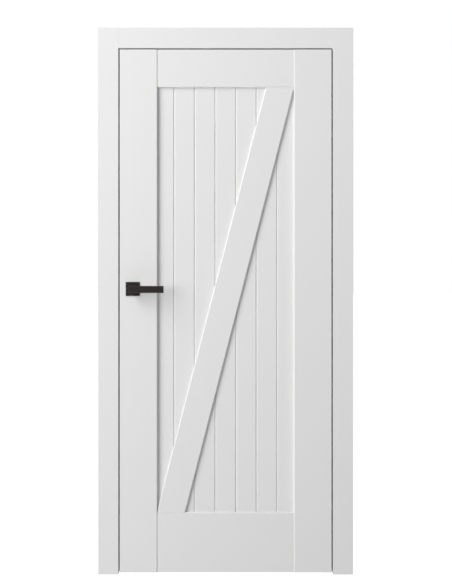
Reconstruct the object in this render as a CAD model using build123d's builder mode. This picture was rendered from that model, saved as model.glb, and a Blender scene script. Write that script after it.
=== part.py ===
"""Barn-style hinged door set: framed and braced leaf, lever handles, concealed hinges, jambs, casings.

Millimetres. +Z is up and the floor is z = 0. The wall's middle plane is y = 0, and the pull side faces -Y.
x = 0 is the outer face of the hinge jamb, so the whole door lies at negative x.
"""
import os
from math import acos, degrees, sqrt

from build123d import *

# Leaf and the gaps round it
leaf_width = 810
leaf_height = 2000
leaf_thickness = 40
edge_gap = 5
floor_gap = 8

# Framing of the leaf
stile_width = 144
top_rail_height = 143.5
bottom_rail_height = 229.5
framing_chamfer = 2.5
rail_setback = 2.5
panel_thickness = 12
panel_housing = 10
housing_clearance = 0.5

# Boards of the panel, marked by V-grooves on both faces
board_pitch = 79
groove_width = 6.5
groove_depth = 3.5
groove_count = 6

# Diagonal brace
brace_width = 106
brace_overrun = 2.5
brace_setback = 3.5
brace_chamfer = 3

# Frame in the wall
wall_thickness = 100
jamb_thickness = 40
jamb_bevel = 2
stop_lap = 12
stop_clearance = 5
casing_width = 78
casing_thickness = 10
casing_edge_radius = 0.5

# Weather seal in the stop
seal_width = 9
seal_stem_width = 4
seal_stem_depth = 6
seal_contact_gap = 0.3

# Lever handles
lock_backset = 50
handle_height = 1093
rose_size = 53
rose_thickness = 4
rose_bevel = 0.8
neck_diameter = 20
neck_clearance = 0.3
neck_seat_gap = 1
lever_projection = 58
lever_length = 134
lever_overhang = 13
lever_height = 26
lever_thickness = 12
lever_bevel = 3.5
spindle_size = 8
spindle_reach = 18
spindle_clearance = 0.1
spindle_bore = 24

# Lock forend, latch bolt and strike
forend_width = 20
forend_height = 235
forend_thickness = 3
forend_drop = 40
latch_width = 11
latch_height = 32
latch_depth = 16
latch_rise = 18
latch_clearance = 0.2
strike_width = 22
strike_height = 170
strike_thickness = 3
strike_dish_depth = 1.5
strike_dish_margin = 2

# Concealed hinges with curved arms that turn about an axis in front of the side gap
hinge_inset = 240
hinge_opening = 95
hinge_axis_offset = 3
hinge_arm_inner_radius = 32.5
hinge_arm_outer_radius = 38
hinge_arm_height = 44
hinge_arm_engagement = 7.5
hinge_arm_clearance = 0.3
hinge_body_height = 112
hinge_body_wall = 2.2

os.makedirs("parts", exist_ok=True)

# Planes of the frame and the leaf
jamb_front = -wall_thickness / 2
jamb_back = wall_thickness / 2
leaf_front = jamb_front - casing_thickness
leaf_back = leaf_front + leaf_thickness
leaf_middle = (leaf_front + leaf_back) / 2
hinge_face = -jamb_thickness
leaf_hinge_edge = hinge_face - edge_gap
leaf_lock_edge = leaf_hinge_edge - leaf_width
leaf_centre = (leaf_hinge_edge + leaf_lock_edge) / 2
lock_face = leaf_lock_edge - edge_gap
lock_outer = lock_face - jamb_thickness
leaf_bottom = floor_gap
leaf_top = leaf_bottom + leaf_height
head_face = leaf_top + edge_gap
head_top = head_face + jamb_thickness
stop_rise = edge_gap + stop_lap
stop_face = leaf_back + stop_clearance

# Opening of the panel between the framing members
opening_width = leaf_width - 2 * stile_width
opening_bottom = leaf_bottom + bottom_rail_height
opening_top = leaf_top - top_rail_height
opening_left = leaf_centre - opening_width / 2
panel_front = leaf_middle - panel_thickness / 2
tongue_length = panel_housing - housing_clearance

# Handle and hinge centres
spindle_x = leaf_lock_edge + lock_backset
forend_z = handle_height - forend_drop
latch_z = handle_height + latch_rise
axis_x = leaf_hinge_edge + edge_gap / 2
axis_y = leaf_front - hinge_axis_offset
hinge_heights = {"lower": leaf_bottom + hinge_inset, "upper": leaf_top - hinge_inset}

# The push side of the leaf mirrors its pull side
leaf_mirror = Plane.XZ.offset(-leaf_middle)


def keep_piece(piece, name):
    """Name one finished piece and write it to its own file."""
    piece.label = name
    export_step(piece, f"parts/{name}.step")


# Hinge bodies: the depth and width that hold the curved channel, seen in plan about the hinge axis
arm_middle_radius = (hinge_arm_inner_radius + hinge_arm_outer_radius) / 2
mouth_angle = degrees(acos(edge_gap / 2 / arm_middle_radius))
arm_start_angle = mouth_angle - hinge_arm_engagement - hinge_opening / 2
arm_sweep = 180 - 2 * arm_start_angle
channel_inner_radius = hinge_arm_inner_radius - hinge_arm_clearance
channel_outer_radius = hinge_arm_outer_radius + hinge_arm_clearance
channel_end_allowance = degrees(hinge_arm_clearance / arm_middle_radius)
channel_start = arm_start_angle - channel_end_allowance
channel_corner = Vector(channel_inner_radius, 0).rotate(Axis.Z, channel_start)
channel_depth = Vector(channel_outer_radius, 0).rotate(Axis.Z, channel_start).X - edge_gap / 2
hinge_body_front = axis_y + channel_corner.Y - hinge_body_wall
hinge_body_back = axis_y + channel_outer_radius + hinge_body_wall
hinge_body_width = hinge_body_back - hinge_body_front
hinge_body_middle = (hinge_body_front + hinge_body_back) / 2
hinge_body_depth = channel_depth + hinge_body_wall


def hinge_pockets(side):
    """Plane on which a hinge body is let in: side 1 faces the jamb, side -1 the leaf edge."""
    face = hinge_face if side > 0 else leaf_hinge_edge
    return Plane(origin=(face, hinge_body_middle, 0), x_dir=(0, side, 0), z_dir=(side, 0, 0))


def frame_plane(side):
    """Plane of a jamb's section: local x runs from the wall into the doorway and local y through the wall."""
    if side == "hinge":
        return Plane(origin=(0, 0, head_top), x_dir=(-1, 0, 0), z_dir=(0, 0, -1))
    if side == "lock":
        return Plane(origin=(lock_outer, 0, 0), x_dir=(1, 0, 0), z_dir=(0, 0, 1))
    return Plane(origin=(lock_outer, 0, head_top), x_dir=(0, 0, -1), z_dir=(1, 0, 0))


frame_lengths = {"hinge": head_top, "lock": head_top, "head": -lock_outer}
hinge_mitre = Plane(origin=(0, 0, head_top), z_dir=(1, 0, -1))
lock_mitre = Plane(origin=(lock_outer, 0, head_top), z_dir=(-1, 0, -1))
mitre_cuts = {
    "hinge": [(hinge_mitre, Keep.TOP)],
    "lock": [(lock_mitre, Keep.TOP)],
    "head": [(hinge_mitre, Keep.BOTTOM), (lock_mitre, Keep.BOTTOM)],
}
seal_line = jamb_thickness + edge_gap + stop_lap / 2


def jamb(side):
    """One member of the rebated frame, mitred at the head, with a slot for the seal in its stop."""
    stop_inner = jamb_thickness + stop_rise
    with BuildPart() as member:
        with BuildSketch(frame_plane(side)):
            with BuildLine():
                Polyline(
                    (jamb_bevel, jamb_front),
                    (jamb_thickness, jamb_front),
                    (jamb_thickness, stop_face),
                    (stop_inner, stop_face),
                    (stop_inner, jamb_back),
                    (jamb_bevel, jamb_back),
                    (0, jamb_back - jamb_bevel),
                    (0, jamb_front + jamb_bevel),
                    close=True,
                )
            make_face()
            with Locations((seal_line, stop_face)):
                Rectangle(
                    seal_stem_width, seal_stem_depth, align=(Align.CENTER, Align.MIN), mode=Mode.SUBTRACT
                )
        extrude(amount=frame_lengths[side])
        for mitre, kept in mitre_cuts[side]:
            split(bisect_by=mitre, keep=kept)
    return member.part


def seal(side):
    """Rubber seal: a stem pressed in the stop's slot and a rounded lip that just meets the leaf."""
    lip_front = leaf_back + seal_contact_gap
    lip_shoulder = lip_front + seal_width / 4
    with BuildPart() as strip:
        with BuildSketch(frame_plane(side)):
            with BuildLine():
                Polyline(
                    (seal_line - seal_width / 2, lip_shoulder),
                    (seal_line - seal_width / 2, stop_face),
                    (seal_line - seal_stem_width / 2, stop_face),
                    (seal_line - seal_stem_width / 2, stop_face + seal_stem_depth),
                    (seal_line + seal_stem_width / 2, stop_face + seal_stem_depth),
                    (seal_line + seal_stem_width / 2, stop_face),
                    (seal_line + seal_width / 2, stop_face),
                    (seal_line + seal_width / 2, lip_shoulder),
                )
                ThreePointArc(
                    (seal_line + seal_width / 2, lip_shoulder),
                    (seal_line, lip_front),
                    (seal_line - seal_width / 2, lip_shoulder),
                )
            make_face()
        extrude(amount=frame_lengths[side])
        for mitre, kept in mitre_cuts[side]:
            split(bisect_by=mitre, keep=kept)
    return strip.part


# Frame: hinge jamb with two hinge pockets, lock jamb with the strike's recess, head
hinge_member = jamb("hinge")
with BuildPart() as hinge_jamb:
    add(hinge_member)
    with BuildSketch(hinge_pockets(1)):
        with Locations(*[(0, z) for z in hinge_heights.values()]):
            SlotOverall(hinge_body_height, hinge_body_width, rotation=90)
    extrude(amount=hinge_body_depth, mode=Mode.SUBTRACT)
keep_piece(hinge_jamb.part, "hinge_jamb")

strike_middle = (jamb_front + stop_face) / 2
strike_plane = Plane(origin=(lock_face, strike_middle, forend_z), x_dir=(0, 1, 0), z_dir=(1, 0, 0))
lock_member = jamb("lock")
with BuildPart() as lock_jamb:
    add(lock_member)
    with BuildSketch(strike_plane):
        RectangleRounded(strike_width, strike_height, strike_width / 2 - strike_dish_margin)
    extrude(amount=-strike_thickness, mode=Mode.SUBTRACT)
keep_piece(lock_jamb.part, "lock_jamb")

keep_piece(jamb("head"), "head_jamb")

for side in ("hinge", "lock", "head"):
    keep_piece(seal(side), f"{side}_seal")

with BuildPart() as strike_plate:
    with BuildSketch(strike_plane):
        RectangleRounded(strike_width, strike_height, strike_width / 2 - strike_dish_margin)
    extrude(amount=-strike_thickness)
    with BuildSketch(strike_plane):
        with Locations((0, latch_z - forend_z)):
            Rectangle(latch_width + 2 * strike_dish_margin, latch_height + 2 * strike_dish_margin)
    extrude(amount=-strike_dish_depth, mode=Mode.SUBTRACT)
keep_piece(strike_plate.part, "strike_plate")


def casing(face, outward, edge_x, edge_z):
    """Two legs and a head piece between them, laid on one side of the wall round the opening's edge."""
    reach = outward * casing_thickness
    leg_top = edge_z + casing_width
    outlines = {
        "hinge": (edge_x, 0, edge_x + casing_width, leg_top),
        "lock": (2 * leaf_centre - edge_x - casing_width, 0, 2 * leaf_centre - edge_x, leg_top),
        "head": (2 * leaf_centre - edge_x, edge_z, edge_x, leg_top),
    }
    boards = {}
    for side, (left, bottom, right, top) in outlines.items():
        grain = Axis.X if side == "head" else Axis.Z
        with BuildPart() as board:
            with BuildSketch(Plane(origin=(left, face, bottom), x_dir=(1, 0, 0), z_dir=(0, -1, 0))):
                Rectangle(right - left, top - bottom, align=(Align.MIN, Align.MIN))
            extrude(amount=-reach)
            shown_face = board.faces().sort_by(Axis.Y)[-1 if outward > 0 else 0]
            fillet(shown_face.edges().filter_by(grain), radius=casing_edge_radius)
        boards[side] = board.part
    return boards


for side, board in casing(jamb_front, -1, hinge_face, head_face).items():
    keep_piece(board, f"front_{side}_casing")
for side, board in casing(jamb_back, 1, hinge_face - stop_rise, head_face - stop_rise).items():
    keep_piece(board, f"back_{side}_casing")


def stile(outer_edge, inward):
    """Upright of the leaf: bevelled arrises and a groove for the panel on its inner edge."""
    foot = Plane(origin=(outer_edge, leaf_middle, leaf_bottom), x_dir=(inward, 0, 0))
    with BuildPart() as upright:
        with BuildSketch(foot) as section:
            Rectangle(stile_width, leaf_thickness, align=(Align.MIN, Align.CENTER))
            chamfer(section.vertices().group_by(Axis.X)[-1], length=framing_chamfer)
            with Locations((stile_width, 0)):
                Rectangle(
                    panel_housing, panel_thickness, align=(Align.MAX, Align.CENTER), mode=Mode.SUBTRACT
                )
        extrude(amount=leaf_height)
    return upright.part


# Leaf framing: the lock stile is bored for the spindle and let in for the forend and the latch
forend_middle = strike_middle
forend_plane = Plane(origin=(leaf_lock_edge, forend_middle, forend_z), x_dir=(0, 1, 0), z_dir=(1, 0, 0))
handle_plane = Plane(origin=(spindle_x, leaf_middle, handle_height), x_dir=(1, 0, 0), z_dir=(0, -1, 0))

lock_upright = stile(leaf_lock_edge, 1)
with BuildPart() as lock_stile:
    add(lock_upright)
    with BuildSketch(forend_plane):
        RectangleRounded(forend_width, forend_height, forend_width / 2 - strike_dish_margin)
    extrude(amount=forend_thickness, mode=Mode.SUBTRACT)
    with BuildSketch(forend_plane):
        with Locations((0, latch_z - forend_z)):
            Rectangle(latch_width, latch_height)
    extrude(amount=latch_depth, mode=Mode.SUBTRACT)
    with BuildSketch(handle_plane):
        Circle(spindle_bore / 2)
    extrude(amount=leaf_thickness / 2, both=True, mode=Mode.SUBTRACT)
keep_piece(lock_stile.part, "lock_stile")

hinge_upright = stile(leaf_hinge_edge, -1)
with BuildPart() as hinge_stile:
    add(hinge_upright)
    with BuildSketch(hinge_pockets(-1)):
        with Locations(*[(0, z) for z in hinge_heights.values()]):
            SlotOverall(hinge_body_height, hinge_body_width, rotation=90)
    extrude(amount=hinge_body_depth, mode=Mode.SUBTRACT)
keep_piece(hinge_stile.part, "hinge_stile")


def rail(height, opening_edge, upward):
    """Cross member set back between the stiles, with stub tongues, bevelled and grooved towards the panel."""
    span = opening_width + 2 * tongue_length
    half_thickness = leaf_thickness / 2 - rail_setback
    section = Plane(origin=(leaf_centre, leaf_middle, opening_edge), x_dir=(0, 1, 0), z_dir=(1, 0, 0))
    with BuildPart() as member:
        with BuildSketch(section):
            with BuildLine():
                Polyline(
                    (-half_thickness, upward * height),
                    (-half_thickness, upward * framing_chamfer),
                    (framing_chamfer - half_thickness, 0),
                    (half_thickness - framing_chamfer, 0),
                    (half_thickness, upward * framing_chamfer),
                    (half_thickness, upward * height),
                    close=True,
                )
            make_face()
        extrude(amount=opening_width / 2, both=True)
        with BuildSketch(section):
            with Locations((0, upward * height / 2)):
                Rectangle(panel_thickness, height)
        extrude(amount=span / 2, both=True)
        with BuildSketch(section):
            with Locations((0, upward * panel_housing / 2)):
                Rectangle(panel_thickness, panel_housing)
        extrude(amount=span / 2, both=True, mode=Mode.SUBTRACT)
    return member.part


keep_piece(rail(top_rail_height, opening_top, 1), "top_rail")
keep_piece(rail(bottom_rail_height, opening_bottom, -1), "bottom_rail")

# Panel of boards, housed in the grooves of the framing, with a V-groove at each board joint on both faces
panel_width = opening_width + 2 * tongue_length
panel_height = opening_top - opening_bottom + 2 * tongue_length
first_groove = -(groove_count - 1) / 2 * board_pitch
with BuildPart() as board_panel:
    with BuildSketch(Plane.XY.offset(opening_bottom - tongue_length)):
        with Locations((leaf_centre, leaf_middle)):
            Rectangle(panel_width, panel_thickness)
        for joint in range(groove_count):
            joint_x = leaf_centre + first_groove + joint * board_pitch
            for face_side in (-1, 1):
                face_y = leaf_middle + face_side * panel_thickness / 2
                with BuildLine():
                    Polyline(
                        (joint_x - groove_width / 2, face_y),
                        (joint_x, face_y - face_side * groove_depth),
                        (joint_x + groove_width / 2, face_y),
                        close=True,
                    )
                make_face(mode=Mode.SUBTRACT)
    extrude(amount=panel_height)
keep_piece(board_panel.part, "board_panel")

# Braces: one board on each face, from the foot of the lock side to the head of the hinge side. Its long
# edges run a little past the corners of the opening, so the framing trims its two points.
opening_height = opening_top - opening_bottom
brace_span = opening_width + 2 * brace_overrun
brace_reach = sqrt(brace_span**2 + opening_height**2 - brace_width**2)
brace_end = (
    brace_width
    * (opening_height * brace_reach - brace_width * brace_span)
    / (opening_height**2 - brace_width**2)
)
brace_plane = Plane(origin=(opening_left, panel_front, opening_bottom), x_dir=(1, 0, 0), z_dir=(0, -1, 0))
brace_thickness = (leaf_thickness - panel_thickness) / 2 - brace_setback
with BuildPart() as front_brace:
    with BuildSketch(brace_plane):
        with BuildLine():
            Polyline(
                (-brace_overrun, 0),
                (brace_end - brace_overrun, 0),
                (brace_span - brace_overrun, opening_height),
                (brace_span - brace_overrun - brace_end, opening_height),
                close=True,
            )
        make_face()
        Rectangle(opening_width, opening_height, align=(Align.MIN, Align.MIN), mode=Mode.INTERSECT)
    extrude(amount=brace_thickness)
    brace_edges = front_brace.faces().sort_by(Axis.Y)[0].edges().sort_by(SortBy.LENGTH)[-2:]
    chamfer(brace_edges, length=brace_chamfer)
keep_piece(front_brace.part, "front_brace")
keep_piece(mirror(front_brace.part, about=leaf_mirror), "back_brace")

# Forend and latch bolt in the lock edge
with BuildPart() as lock_forend:
    with BuildSketch(forend_plane):
        RectangleRounded(forend_width, forend_height, forend_width / 2 - strike_dish_margin)
        with Locations((0, latch_z - forend_z)):
            Rectangle(
                latch_width + 2 * latch_clearance, latch_height + 2 * latch_clearance, mode=Mode.SUBTRACT
            )
    extrude(amount=forend_thickness)
keep_piece(lock_forend.part, "lock_forend")

with BuildPart() as latch_bolt:
    with BuildSketch(forend_plane):
        with Locations((0, latch_z - forend_z)):
            Rectangle(latch_width, latch_height)
    extrude(amount=latch_depth)
keep_piece(latch_bolt.part, "latch_bolt")

# Square rose against the leaf, bored for the neck of the lever
with BuildPart() as front_rose:
    with BuildSketch(handle_plane.offset(leaf_thickness / 2)):
        Rectangle(rose_size, rose_size)
    extrude(amount=rose_thickness)
    chamfer(front_rose.faces().sort_by(Axis.Y)[0].edges(), length=rose_bevel)
    with BuildSketch(handle_plane.offset(leaf_thickness / 2)):
        Circle(neck_diameter / 2 + neck_clearance)
    extrude(amount=rose_thickness, mode=Mode.SUBTRACT)
keep_piece(front_rose.part, "front_rose")

# Lever: a round neck that turns in the rose and a flat bar across it
neck_start = leaf_thickness / 2 + neck_seat_gap
bar_back = leaf_thickness / 2 + lever_projection - lever_thickness
with BuildPart() as front_lever:
    with BuildSketch(handle_plane.offset(bar_back)):
        with Locations((-lever_overhang, 0)):
            Rectangle(lever_length, lever_height, align=(Align.MIN, Align.CENTER))
    extrude(amount=lever_thickness)
    chamfer(front_lever.faces().sort_by(Axis.Y)[0].edges(), length=lever_bevel)
    with BuildSketch(handle_plane.offset(neck_start)):
        Circle(neck_diameter / 2)
    extrude(amount=bar_back - neck_start)
    with BuildSketch(handle_plane.offset(neck_start)):
        Rectangle(spindle_size + 2 * spindle_clearance, spindle_size + 2 * spindle_clearance)
    extrude(amount=spindle_reach + spindle_clearance, mode=Mode.SUBTRACT)
keep_piece(front_lever.part, "front_lever")

# The push side repeats the rose and the lever
keep_piece(mirror(front_rose.part, about=leaf_mirror), "back_rose")
keep_piece(mirror(front_lever.part, about=leaf_mirror), "back_lever")

with BuildPart() as spindle:
    with BuildSketch(handle_plane):
        Rectangle(spindle_size, spindle_size)
    extrude(amount=neck_start + spindle_reach, both=True)
keep_piece(spindle.part, "spindle")


def hinge_body(side, height):
    """Oblong hinge body with the curved channel that one end of the arm slides in."""
    from_angle = channel_start if side > 0 else 90
    to_angle = 90 if side > 0 else 180 - channel_start
    with BuildPart() as body:
        with BuildSketch(hinge_pockets(side)):
            with Locations((0, height)):
                SlotOverall(hinge_body_height, hinge_body_width, rotation=90)
        extrude(amount=hinge_body_depth)
        channel_height = hinge_arm_height + 2 * hinge_arm_clearance
        with BuildSketch(Plane.XY.offset(height - channel_height / 2)):
            with BuildLine():
                outer = CenterArc((axis_x, axis_y), channel_outer_radius, from_angle, to_angle - from_angle)
                inner = CenterArc((axis_x, axis_y), channel_inner_radius, from_angle, to_angle - from_angle)
                Line(outer @ 0, inner @ 0)
                Line(outer @ 1, inner @ 1)
            make_face()
        extrude(amount=channel_height, mode=Mode.SUBTRACT)
    return body.part


def hinge_arm(height):
    """Curved arm that bridges the side gap and runs into both hinge bodies."""
    with BuildPart() as arm:
        with BuildSketch(Plane.XY.offset(height - hinge_arm_height / 2)):
            with BuildLine():
                outer = CenterArc((axis_x, axis_y), hinge_arm_outer_radius, arm_start_angle, arm_sweep)
                inner = CenterArc((axis_x, axis_y), hinge_arm_inner_radius, arm_start_angle, arm_sweep)
                Line(outer @ 0, inner @ 0)
                Line(outer @ 1, inner @ 1)
            make_face()
        extrude(amount=hinge_arm_height)
    return arm.part


for level, height in hinge_heights.items():
    keep_piece(hinge_body(1, height), f"{level}_hinge_jamb_body")
    keep_piece(hinge_body(-1, height), f"{level}_hinge_leaf_body")
    keep_piece(hinge_arm(height), f"{level}_hinge_arm")
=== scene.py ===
from math import atan2, copysign, pi, radians

import bmesh
import bpy
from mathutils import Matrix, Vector


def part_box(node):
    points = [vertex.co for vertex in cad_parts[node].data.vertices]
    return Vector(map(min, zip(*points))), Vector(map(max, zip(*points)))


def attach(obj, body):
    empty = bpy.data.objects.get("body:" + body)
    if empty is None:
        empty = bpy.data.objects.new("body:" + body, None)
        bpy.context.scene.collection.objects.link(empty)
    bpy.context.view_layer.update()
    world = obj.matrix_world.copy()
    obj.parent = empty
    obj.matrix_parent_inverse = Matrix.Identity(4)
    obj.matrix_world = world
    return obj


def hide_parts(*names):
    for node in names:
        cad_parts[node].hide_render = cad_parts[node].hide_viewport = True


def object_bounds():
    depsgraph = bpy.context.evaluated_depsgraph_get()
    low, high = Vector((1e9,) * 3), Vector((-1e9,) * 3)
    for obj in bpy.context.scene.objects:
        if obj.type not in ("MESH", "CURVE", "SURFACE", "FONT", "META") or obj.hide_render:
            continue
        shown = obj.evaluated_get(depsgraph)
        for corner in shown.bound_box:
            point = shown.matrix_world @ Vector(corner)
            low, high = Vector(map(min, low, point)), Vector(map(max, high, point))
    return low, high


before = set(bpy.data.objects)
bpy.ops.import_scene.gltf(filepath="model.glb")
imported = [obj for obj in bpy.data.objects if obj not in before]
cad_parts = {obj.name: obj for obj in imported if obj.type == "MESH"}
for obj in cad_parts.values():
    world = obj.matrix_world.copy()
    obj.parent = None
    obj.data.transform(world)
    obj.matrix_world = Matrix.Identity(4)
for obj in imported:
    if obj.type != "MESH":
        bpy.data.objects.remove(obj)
cad_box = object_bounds()

# Jambs. The rebated frame that lines the wall opening: machined board, mitred at the head and sprayed
# with white satin paint. Each is its CAD solid, with the sharp arrises sanded to a small radius.
mm = 0.001
merge_distance = 0.01 * mm
flat_angle = radians(0.5)
sharp_angle = radians(20)
corner_angle = radians(50)
face_area_weight = 100
paint_arris = 0.5 * mm


def eased_piece(node, finish, name_end, arris=0, segments=2):
    """A copy of a CAD solid with whole flat faces, its sharp edges eased where an arris is given."""
    shape = bmesh.new()
    shape.from_mesh(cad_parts[node].data)
    bmesh.ops.remove_doubles(shape, verts=shape.verts, dist=merge_distance)
    bmesh.ops.dissolve_limit(shape, angle_limit=flat_angle, verts=shape.verts, edges=shape.edges)
    mesh = bpy.data.meshes.new(f"{node}_{name_end}")
    shape.to_mesh(mesh)
    shape.free()
    if "custom_normal" in mesh.attributes:
        mesh.attributes.remove(mesh.attributes["custom_normal"])
    mesh.materials.clear()
    mesh.materials.append(finish)
    mesh.shade_smooth()
    piece = bpy.data.objects.new(mesh.name, mesh)
    bpy.context.scene.collection.objects.link(piece)
    if arris:
        rounding = piece.modifiers.new("rounded_arris", "BEVEL")
        rounding.width = arris
        rounding.segments = segments
        rounding.limit_method = "ANGLE"
        rounding.angle_limit = sharp_angle
        rounding.use_clamp_overlap = True
    else:
        mesh.set_sharp_from_angle(angle=corner_angle)
    flat_faces = piece.modifiers.new("flat_faces", "WEIGHTED_NORMAL")
    flat_faces.keep_sharp = not arris
    flat_faces.weight = face_area_weight
    return piece


def stand_for(piece, node, body):
    """The piece takes the place of its CAD node, on the same body."""
    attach(piece, body)
    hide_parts(node)


def new_finish(name):
    """A new material, with its node tree, its shader and the piece's own coordinates."""
    finish = bpy.data.materials.new(name)
    finish.use_nodes = True
    tree = finish.node_tree
    place = tree.nodes.new("ShaderNodeTexCoord").outputs["Object"]
    return finish, tree, tree.nodes["Principled BSDF"], place


def stretched(tree, place, scale, turn=0):
    """Coordinates drawn out along one direction, for grain and brush marks."""
    mapping = tree.nodes.new("ShaderNodeMapping")
    mapping.inputs["Rotation"].default_value = (0, turn, 0)
    mapping.inputs["Scale"].default_value = scale
    tree.links.new(place, mapping.inputs["Vector"])
    return mapping.outputs["Vector"]


def noise(tree, place, detail, scale=1):
    """A noise pattern over the surface."""
    pattern = tree.nodes.new("ShaderNodeTexNoise")
    pattern.inputs["Scale"].default_value = scale
    pattern.inputs["Detail"].default_value = detail
    tree.links.new(place, pattern.inputs["Vector"])
    return pattern.outputs["Fac"]


def tone(tree, shader, pattern, low, high):
    """A base colour that moves between two tones with a pattern."""
    mix = tree.nodes.new("ShaderNodeMix")
    mix.data_type = "RGBA"
    mix.inputs["A"].default_value = (*low, 1)
    mix.inputs["B"].default_value = (*high, 1)
    tree.links.new(pattern, mix.inputs["Factor"])
    tree.links.new(mix.outputs["Result"], shader.inputs["Base Color"])


def sheen(tree, shader, pattern, low, high):
    """A roughness that moves between two values with a pattern."""
    spread = tree.nodes.new("ShaderNodeMapRange")
    spread.inputs["To Min"].default_value = low
    spread.inputs["To Max"].default_value = high
    tree.links.new(pattern, spread.inputs["Value"])
    tree.links.new(spread.outputs["Result"], shader.inputs["Roughness"])


def relief(tree, shader, pattern, strength, depth, under=None):
    """A fine relief from a pattern, over another relief where one is given."""
    bump = tree.nodes.new("ShaderNodeBump")
    bump.inputs["Strength"].default_value = strength
    bump.inputs["Distance"].default_value = depth
    tree.links.new(pattern, bump.inputs["Height"])
    if under:
        tree.links.new(under, bump.inputs["Normal"])
    tree.links.new(bump.outputs["Normal"], shader.inputs["Normal"])
    return bump.outputs["Normal"]


def white_paint(name, grain_turn):
    """Sprayed white satin paint: a fine orange peel over a faint grain that runs along the board."""
    paint, tree, shader, place = new_finish(name)
    shader.inputs["Specular IOR Level"].default_value = 0.15
    along_grain = stretched(tree, place, scale=(260, 260, 9), turn=grain_turn)
    grain = noise(tree, along_grain, detail=4)
    peel = noise(tree, place, detail=2, scale=700)
    cloud = noise(tree, place, detail=3, scale=3.5)
    tone(tree, shader, cloud, low=(0.732, 0.732, 0.730), high=(0.748, 0.748, 0.746))
    sheen(tree, shader, grain, low=0.55, high=0.70)
    grain_relief = relief(tree, shader, grain, strength=0.25, depth=0.02 * mm)
    relief(tree, shader, peel, strength=0.3, depth=0.03 * mm, under=grain_relief)
    return paint


upright_paint = white_paint("white_paint_upright", 0)
level_paint = white_paint("white_paint_level", pi / 2)
for node, finish in (
    ("hinge_jamb", upright_paint),
    ("lock_jamb", upright_paint),
    ("head_jamb", level_paint),
):
    stand_for(eased_piece(node, finish, "painted", paint_arris), node, "frame")

# Casings. Flat painted boards nailed over the joint of frame and wall on both sides, with the legs running
# full height and the head piece set between them. The long edges are rounded in the solid and the ends are
# sawn square; the head lies a hair behind the legs, so that the joints show.
head_setback = 0.2 * mm
for side in ("front", "back"):
    for member, finish in (("hinge", upright_paint), ("lock", upright_paint), ("head", level_paint)):
        node = f"{side}_{member}_casing"
        casing = eased_piece(node, finish, "painted")
        if member == "head":
            low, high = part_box(node)
            for corner in casing.data.vertices:
                if abs(corner.co.y) > abs(low.y + high.y) / 2:
                    corner.co.y -= copysign(head_setback, corner.co.y)
        stand_for(casing, node, "frame")

# Leaf framing. Two full-height stiles and two rails with stub tongues glued between them, all painted, with
# bevelled inner arrises. The rails lie a little behind the stiles, so that each joint shows as a fine line.
for node, finish in (
    ("lock_stile", upright_paint),
    ("hinge_stile", upright_paint),
    ("top_rail", level_paint),
    ("bottom_rail", level_paint),
):
    stand_for(eased_piece(node, finish, "painted", paint_arris), node, "leaf")

# Board panel. One painted panel with a V-groove milled at each board joint on both faces, housed in the
# grooves of the framing.
groove_arris = 0.3 * mm
board_panel = eased_piece("board_panel", upright_paint, "painted", groove_arris)
stand_for(board_panel, "board_panel", "leaf")

# Braces. A painted diagonal board with bevelled long edges is planted on each face of the panel, from the
# foot of the lock side to the head of the hinge side. Its grain follows its lean.
brace_arris = 0.4 * mm
brace_end_cut = 109 * mm
brace_low, brace_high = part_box("front_brace")
brace_lean = atan2(brace_high.x - brace_low.x - brace_end_cut, brace_high.z - brace_low.z)
brace_paint = white_paint("white_paint_brace", -brace_lean)
for node in ("front_brace", "back_brace"):
    stand_for(eased_piece(node, brace_paint, "painted", brace_arris), node, "leaf")


# Seals. Extruded soft rubber strips pressed in the slot of the stop, mitred at the corners, which the shut
# leaf just meets.
def seal_rubber():
    """Pale grey rubber with a dull, slightly dusty skin."""
    rubber, tree, shader, place = new_finish("seal_rubber")
    dust = noise(tree, place, detail=5, scale=140)
    tone(tree, shader, dust, low=(0.50, 0.50, 0.49), high=(0.60, 0.60, 0.59))
    sheen(tree, shader, dust, low=0.6, high=0.8)
    relief(tree, shader, dust, strength=0.2, depth=0.05 * mm)
    return rubber


rubber = seal_rubber()
seal_arris = 0.3 * mm
for node in ("hinge_seal", "lock_seal", "head_seal"):
    stand_for(eased_piece(node, rubber, "rubber", seal_arris), node, "frame")


# Hinges and lock metal. Cast hinge bodies, steel arms, the forend, the latch bolt, the spindle and the
# strike, all with a satin brushed finish. The bodies and plates are let in flush and screwed.
def satin_metal(name, low, high, brush_scale):
    """Brushed and nickelled metal with fine scratches along one direction."""
    metal, tree, shader, place = new_finish(name)
    shader.inputs["Metallic"].default_value = 1.0
    brushing = noise(tree, stretched(tree, place, brush_scale), detail=3)
    tone(tree, shader, brushing, low, high)
    sheen(tree, shader, brushing, low=0.28, high=0.42)
    relief(tree, shader, brushing, strength=0.15, depth=0.01 * mm)
    return metal


hinge_metal = satin_metal(
    "hinge_metal", low=(0.46, 0.46, 0.47), high=(0.58, 0.58, 0.59), brush_scale=(900, 900, 60)
)
lock_steel = satin_metal(
    "lock_steel", low=(0.52, 0.52, 0.53), high=(0.64, 0.64, 0.65), brush_scale=(1500, 1500, 40)
)
metal_edge = 0.5 * mm
for level in ("upper", "lower"):
    for part, body in (
        ("hinge_jamb_body", "frame"),
        ("hinge_leaf_body", "leaf"),
        ("hinge_arm", "hinge_arms"),
    ):
        node = f"{level}_{part}"
        stand_for(eased_piece(node, hinge_metal, "satin", metal_edge), node, body)
for node, body in (
    ("strike_plate", "frame"),
    ("lock_forend", "leaf"),
    ("latch_bolt", "leaf"),
    ("spindle", "handle"),
):
    stand_for(eased_piece(node, lock_steel, "satin", metal_edge), node, body)

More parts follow.
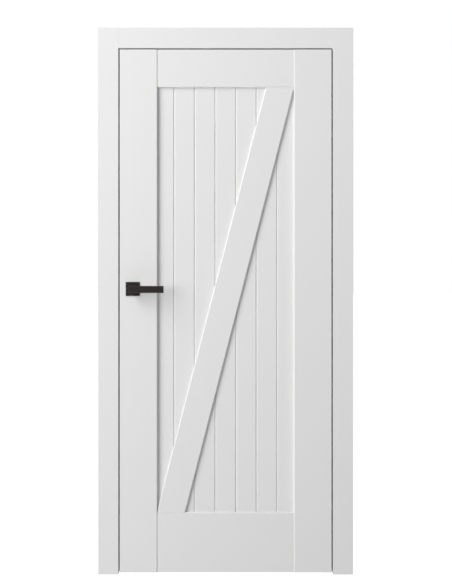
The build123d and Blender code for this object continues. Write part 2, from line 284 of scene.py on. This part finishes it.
# Screws. Steel cross-head screws hold the hinge bodies, the forend and the strike. Their heads stand a
# little proud of the metal. One node tree makes them, as one mesh for each body.
screw_radius = 3.6 * mm
screw_height = 0.7 * mm
hinge_screw_inset = 13 * mm
plate_screw_inset = 11 * mm
rim_corners = 32
top_share = 0.82
slot_length_share = 1.1
slot_width_share = 0.22
slot_depth_shares = (1.0, 0.9)


def screw_tree(finish):
    """Nodes that set one cross-head screw on every point, with its head turned to the point's facing."""
    tree = bpy.data.node_groups.new("cross_head_screws", "GeometryNodeTree")
    tree.interface.new_socket("Places", in_out="INPUT", socket_type="NodeSocketGeometry")
    tree.interface.new_socket("Head Radius", in_out="INPUT", socket_type="NodeSocketFloat")
    tree.interface.new_socket("Head Height", in_out="INPUT", socket_type="NodeSocketFloat")
    tree.interface.new_socket("Screws", in_out="OUTPUT", socket_type="NodeSocketGeometry")
    nodes = tree.nodes
    links = tree.links
    given = nodes.new("NodeGroupInput")

    def share(size, part):
        """A set part of one of the given sizes."""
        product = nodes.new("ShaderNodeMath")
        product.operation = "MULTIPLY"
        product.inputs[1].default_value = part
        links.new(given.outputs[size], product.inputs[0])
        return product.outputs["Value"]

    cone = nodes.new("GeometryNodeMeshCone")
    cone.inputs["Vertices"].default_value = rim_corners
    links.new(share("Head Radius", top_share), cone.inputs["Radius Top"])
    links.new(given.outputs["Head Radius"], cone.inputs["Radius Bottom"])
    links.new(given.outputs["Head Height"], cone.inputs["Depth"])
    head = cone.outputs["Mesh"]
    top = nodes.new("ShaderNodeCombineXYZ")
    links.new(given.outputs["Head Height"], top.inputs["Z"])
    for length_axis, width_axis, depth_share in zip("XY", "YX", slot_depth_shares):
        size = nodes.new("ShaderNodeCombineXYZ")
        links.new(share("Head Radius", slot_length_share), size.inputs[length_axis])
        links.new(share("Head Radius", slot_width_share), size.inputs[width_axis])
        links.new(share("Head Height", depth_share), size.inputs["Z"])
        bar = nodes.new("GeometryNodeMeshCube")
        links.new(size.outputs["Vector"], bar.inputs["Size"])
        lift = nodes.new("GeometryNodeTransform")
        links.new(bar.outputs["Mesh"], lift.inputs["Geometry"])
        links.new(top.outputs["Vector"], lift.inputs["Translation"])
        slot = nodes.new("GeometryNodeMeshBoolean")
        slot.operation = "DIFFERENCE"
        slot.solver = "EXACT"
        links.new(head, slot.inputs["Mesh 1"])
        links.new(lift.outputs["Geometry"], slot.inputs["Mesh 2"])
        head = slot.outputs["Mesh"]
    points = nodes.new("GeometryNodeMeshToPoints")
    links.new(given.outputs["Places"], points.inputs["Mesh"])
    facing = nodes.new("GeometryNodeInputNamedAttribute")
    facing.data_type = "FLOAT_VECTOR"
    facing.inputs["Name"].default_value = "facing"
    turn = nodes.new("FunctionNodeAlignRotationToVector")
    turn.axis = "Z"
    links.new(facing.outputs["Attribute"], turn.inputs["Vector"])
    set_out = nodes.new("GeometryNodeInstanceOnPoints")
    links.new(points.outputs["Points"], set_out.inputs["Points"])
    links.new(head, set_out.inputs["Instance"])
    links.new(turn.outputs["Rotation"], set_out.inputs["Rotation"])
    real = nodes.new("GeometryNodeRealizeInstances")
    links.new(set_out.outputs["Instances"], real.inputs["Geometry"])
    coat = nodes.new("GeometryNodeSetMaterial")
    coat.inputs["Material"].default_value = finish
    links.new(real.outputs["Geometry"], coat.inputs["Geometry"])
    made = nodes.new("NodeGroupOutput")
    links.new(coat.outputs["Geometry"], made.inputs["Screws"])
    return tree


screws = screw_tree(lock_steel)
screw_inputs = {
    item.name: item.identifier for item in screws.interface.items_tree if item.in_out == "INPUT"
}


def end_screws(node, inset, way):
    """Two screws in a plate, an inset in from its ends: each head's place, and the way it faces along x."""
    low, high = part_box(node)
    face_x = high.x if way > 0 else low.x
    middle = (low.y + high.y) / 2
    return [((face_x, middle, height), (way, 0, 0)) for height in (low.z + inset, high.z - inset)]


def screw_set(body, places_and_ways):
    """One mesh with all the screws that ride on a body."""
    base = bpy.data.meshes.new(f"{body}_screw_places")
    base.from_pydata([place for place, way in places_and_ways], [], [])
    facing = base.attributes.new("facing", "FLOAT_VECTOR", "POINT")
    for entry, (place, way) in zip(facing.data, places_and_ways):
        entry.vector = way
    source = bpy.data.objects.new(base.name, base)
    bpy.context.scene.collection.objects.link(source)
    maker = source.modifiers.new("screws", "NODES")
    maker.node_group = screws
    maker[screw_inputs["Head Radius"]] = screw_radius
    maker[screw_inputs["Head Height"]] = screw_height
    ready = source.evaluated_get(bpy.context.evaluated_depsgraph_get())
    mesh = bpy.data.meshes.new_from_object(ready)
    mesh.name = f"{body}_screws"
    bpy.data.objects.remove(source)
    piece = bpy.data.objects.new(mesh.name, mesh)
    bpy.context.scene.collection.objects.link(piece)
    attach(piece, body)


frame_screws = end_screws("strike_plate", plate_screw_inset, 1)
leaf_screws = end_screws("lock_forend", plate_screw_inset, -1)
for level in ("upper", "lower"):
    frame_screws += end_screws(f"{level}_hinge_jamb_body", hinge_screw_inset, -1)
    leaf_screws += end_screws(f"{level}_hinge_leaf_body", hinge_screw_inset, 1)
screw_set("frame", frame_screws)
screw_set("leaf", leaf_screws)


# Handles. Zinc castings with a square section and bevelled faces, powder-coated black: a square rose
# on each face of the leaf, with its fixings hidden, and a straight lever that turns in it.
def black_powder_coat():
    """Matt black powder coat with a very fine grain and a faint change of tone."""
    coat, tree, shader, place = new_finish("black_powder_coat")
    shader.inputs["Specular IOR Level"].default_value = 0.20
    grain = noise(tree, place, detail=2, scale=2600)
    cloud = noise(tree, place, detail=2, scale=45)
    tone(tree, shader, cloud, low=(0.0202, 0.0157, 0.0143), high=(0.0230, 0.0181, 0.0167))
    sheen(tree, shader, grain, low=0.45, high=0.6)
    relief(tree, shader, grain, strength=0.2, depth=0.02 * mm)
    return coat


powder_coat = black_powder_coat()
casting_edge = 0.5 * mm
for node, body in (
    ("front_rose", "leaf"),
    ("back_rose", "leaf"),
    ("front_lever", "handle"),
    ("back_lever", "handle"),
):
    casting = eased_piece(node, powder_coat, "coated", casting_edge, segments=3)
    stand_for(casting, node, body)

# Studio. A pale floor, and a white surround that is brighter from below. One large soft light stands at the
# upper left of the pull side and a weaker one behind on the right. The camera looks straight at the door,
# with a lens shift that keeps the uprights parallel.
centre_x = (cad_box[0].x + cad_box[1].x) / 2
front_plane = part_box("lock_stile")[0].y
rear_plane = cad_box[1].y
floor_half = 20
floor_corners = [
    (-floor_half, -floor_half, 0),
    (floor_half, -floor_half, 0),
    (floor_half, floor_half, 0),
    (-floor_half, floor_half, 0),
]
floor_mesh = bpy.data.meshes.new("studio_floor")
floor_mesh.from_pydata(floor_corners, [], [(0, 1, 2, 3)])
floor = bpy.data.objects.new("studio_floor", floor_mesh)
bpy.context.scene.collection.objects.link(floor)
floor_finish = bpy.data.materials.new("studio_white")
floor_finish.use_nodes = True
floor_shader = floor_finish.node_tree.nodes["Principled BSDF"]
floor_shader.inputs["Base Color"].default_value = (0.9, 0.9, 0.9, 1)
floor_shader.inputs["Emission Color"].default_value = (1, 1, 1, 1)
floor_shader.inputs["Emission Strength"].default_value = 1.0
floor_mesh.materials.append(floor_finish)
floor.visible_diffuse = False
floor.visible_glossy = False

surround = bpy.data.worlds.new("white_surround")
bpy.context.scene.world = surround
surround.use_nodes = True
surround_nodes = surround.node_tree.nodes
surround_links = surround.node_tree.links
direction = surround_nodes.new("ShaderNodeTexCoord")
direction_parts = surround_nodes.new("ShaderNodeSeparateXYZ")
surround_links.new(direction.outputs["Generated"], direction_parts.inputs["Vector"])
downwards = surround_nodes.new("ShaderNodeMath")
downwards.operation = "MULTIPLY"
downwards.inputs[1].default_value = -1
surround_links.new(direction_parts.outputs["Z"], downwards.inputs[0])
glow = surround_nodes.new("ShaderNodeMapRange")
glow.interpolation_type = "SMOOTHSTEP"
glow.inputs["From Min"].default_value = 0.5
glow.inputs["From Max"].default_value = 1.0
glow.inputs["To Min"].default_value = 0.32
glow.inputs["To Max"].default_value = 2.2
surround_links.new(downwards.outputs["Value"], glow.inputs["Value"])
fill = surround_nodes["Background"]
fill.inputs["Color"].default_value = (1, 1, 1, 1)
surround_links.new(glow.outputs["Result"], fill.inputs["Strength"])
backdrop = surround_nodes.new("ShaderNodeBackground")
backdrop.inputs["Color"].default_value = (1, 1, 1, 1)
backdrop.inputs["Strength"].default_value = 1.0
ray = surround_nodes.new("ShaderNodeLightPath")
shown = surround_nodes.new("ShaderNodeMixShader")
surround_links.new(ray.outputs["Is Camera Ray"], shown.inputs["Fac"])
surround_links.new(fill.outputs["Background"], shown.inputs[1])
surround_links.new(backdrop.outputs["Background"], shown.inputs[2])
surround_links.new(shown.outputs["Shader"], surround_nodes["World Output"].inputs["Surface"])


def softbox(name, width, height, energy, place, aim):
    """A rectangular soft light that stands at a place and faces its aim."""
    light = bpy.data.lights.new(name, "AREA")
    light.shape = "RECTANGLE"
    light.size = width
    light.size_y = height
    light.energy = energy
    stand = bpy.data.objects.new(name, light)
    stand.location = place
    stand.rotation_euler = (Vector(aim) - Vector(place)).to_track_quat("-Z", "Y").to_euler()
    bpy.context.scene.collection.objects.link(stand)


softbox(
    "key_softbox",
    width=4.4,
    height=7.5,
    energy=530,
    place=(centre_x - 4.4, front_plane - 3.9, 4.0),
    aim=(centre_x - 0.4, front_plane, 2.0),
)
softbox(
    "rear_softbox",
    width=3.0,
    height=4.0,
    energy=170,
    place=(centre_x + 3.8, rear_plane + 4.0, 3.4),
    aim=(centre_x, rear_plane, 1.0),
)

shown_colours = bpy.context.scene.view_settings
shown_colours.view_transform = "Standard"
shown_colours.look = "None"

frame_height_px = 584
scale_at_front = 3.8215 * mm
frame_middle = 1.081
camera_distance = 3.6
camera_offset = 1.5 * mm
camera_height = 1.27
frame_height = frame_height_px * scale_at_front
camera = bpy.data.cameras.new("photo_camera")
camera.sensor_width = 36
camera.lens = camera.sensor_width * camera_distance / frame_height
camera.shift_y = (frame_middle - camera_height) / frame_height
viewpoint = bpy.data.objects.new("photo_camera", camera)
viewpoint.location = (centre_x + camera_offset, front_plane - camera_distance, camera_height)
viewpoint.rotation_euler = (pi / 2, 0, 0)
bpy.context.scene.collection.objects.link(viewpoint)
bpy.context.scene.camera = viewpoint
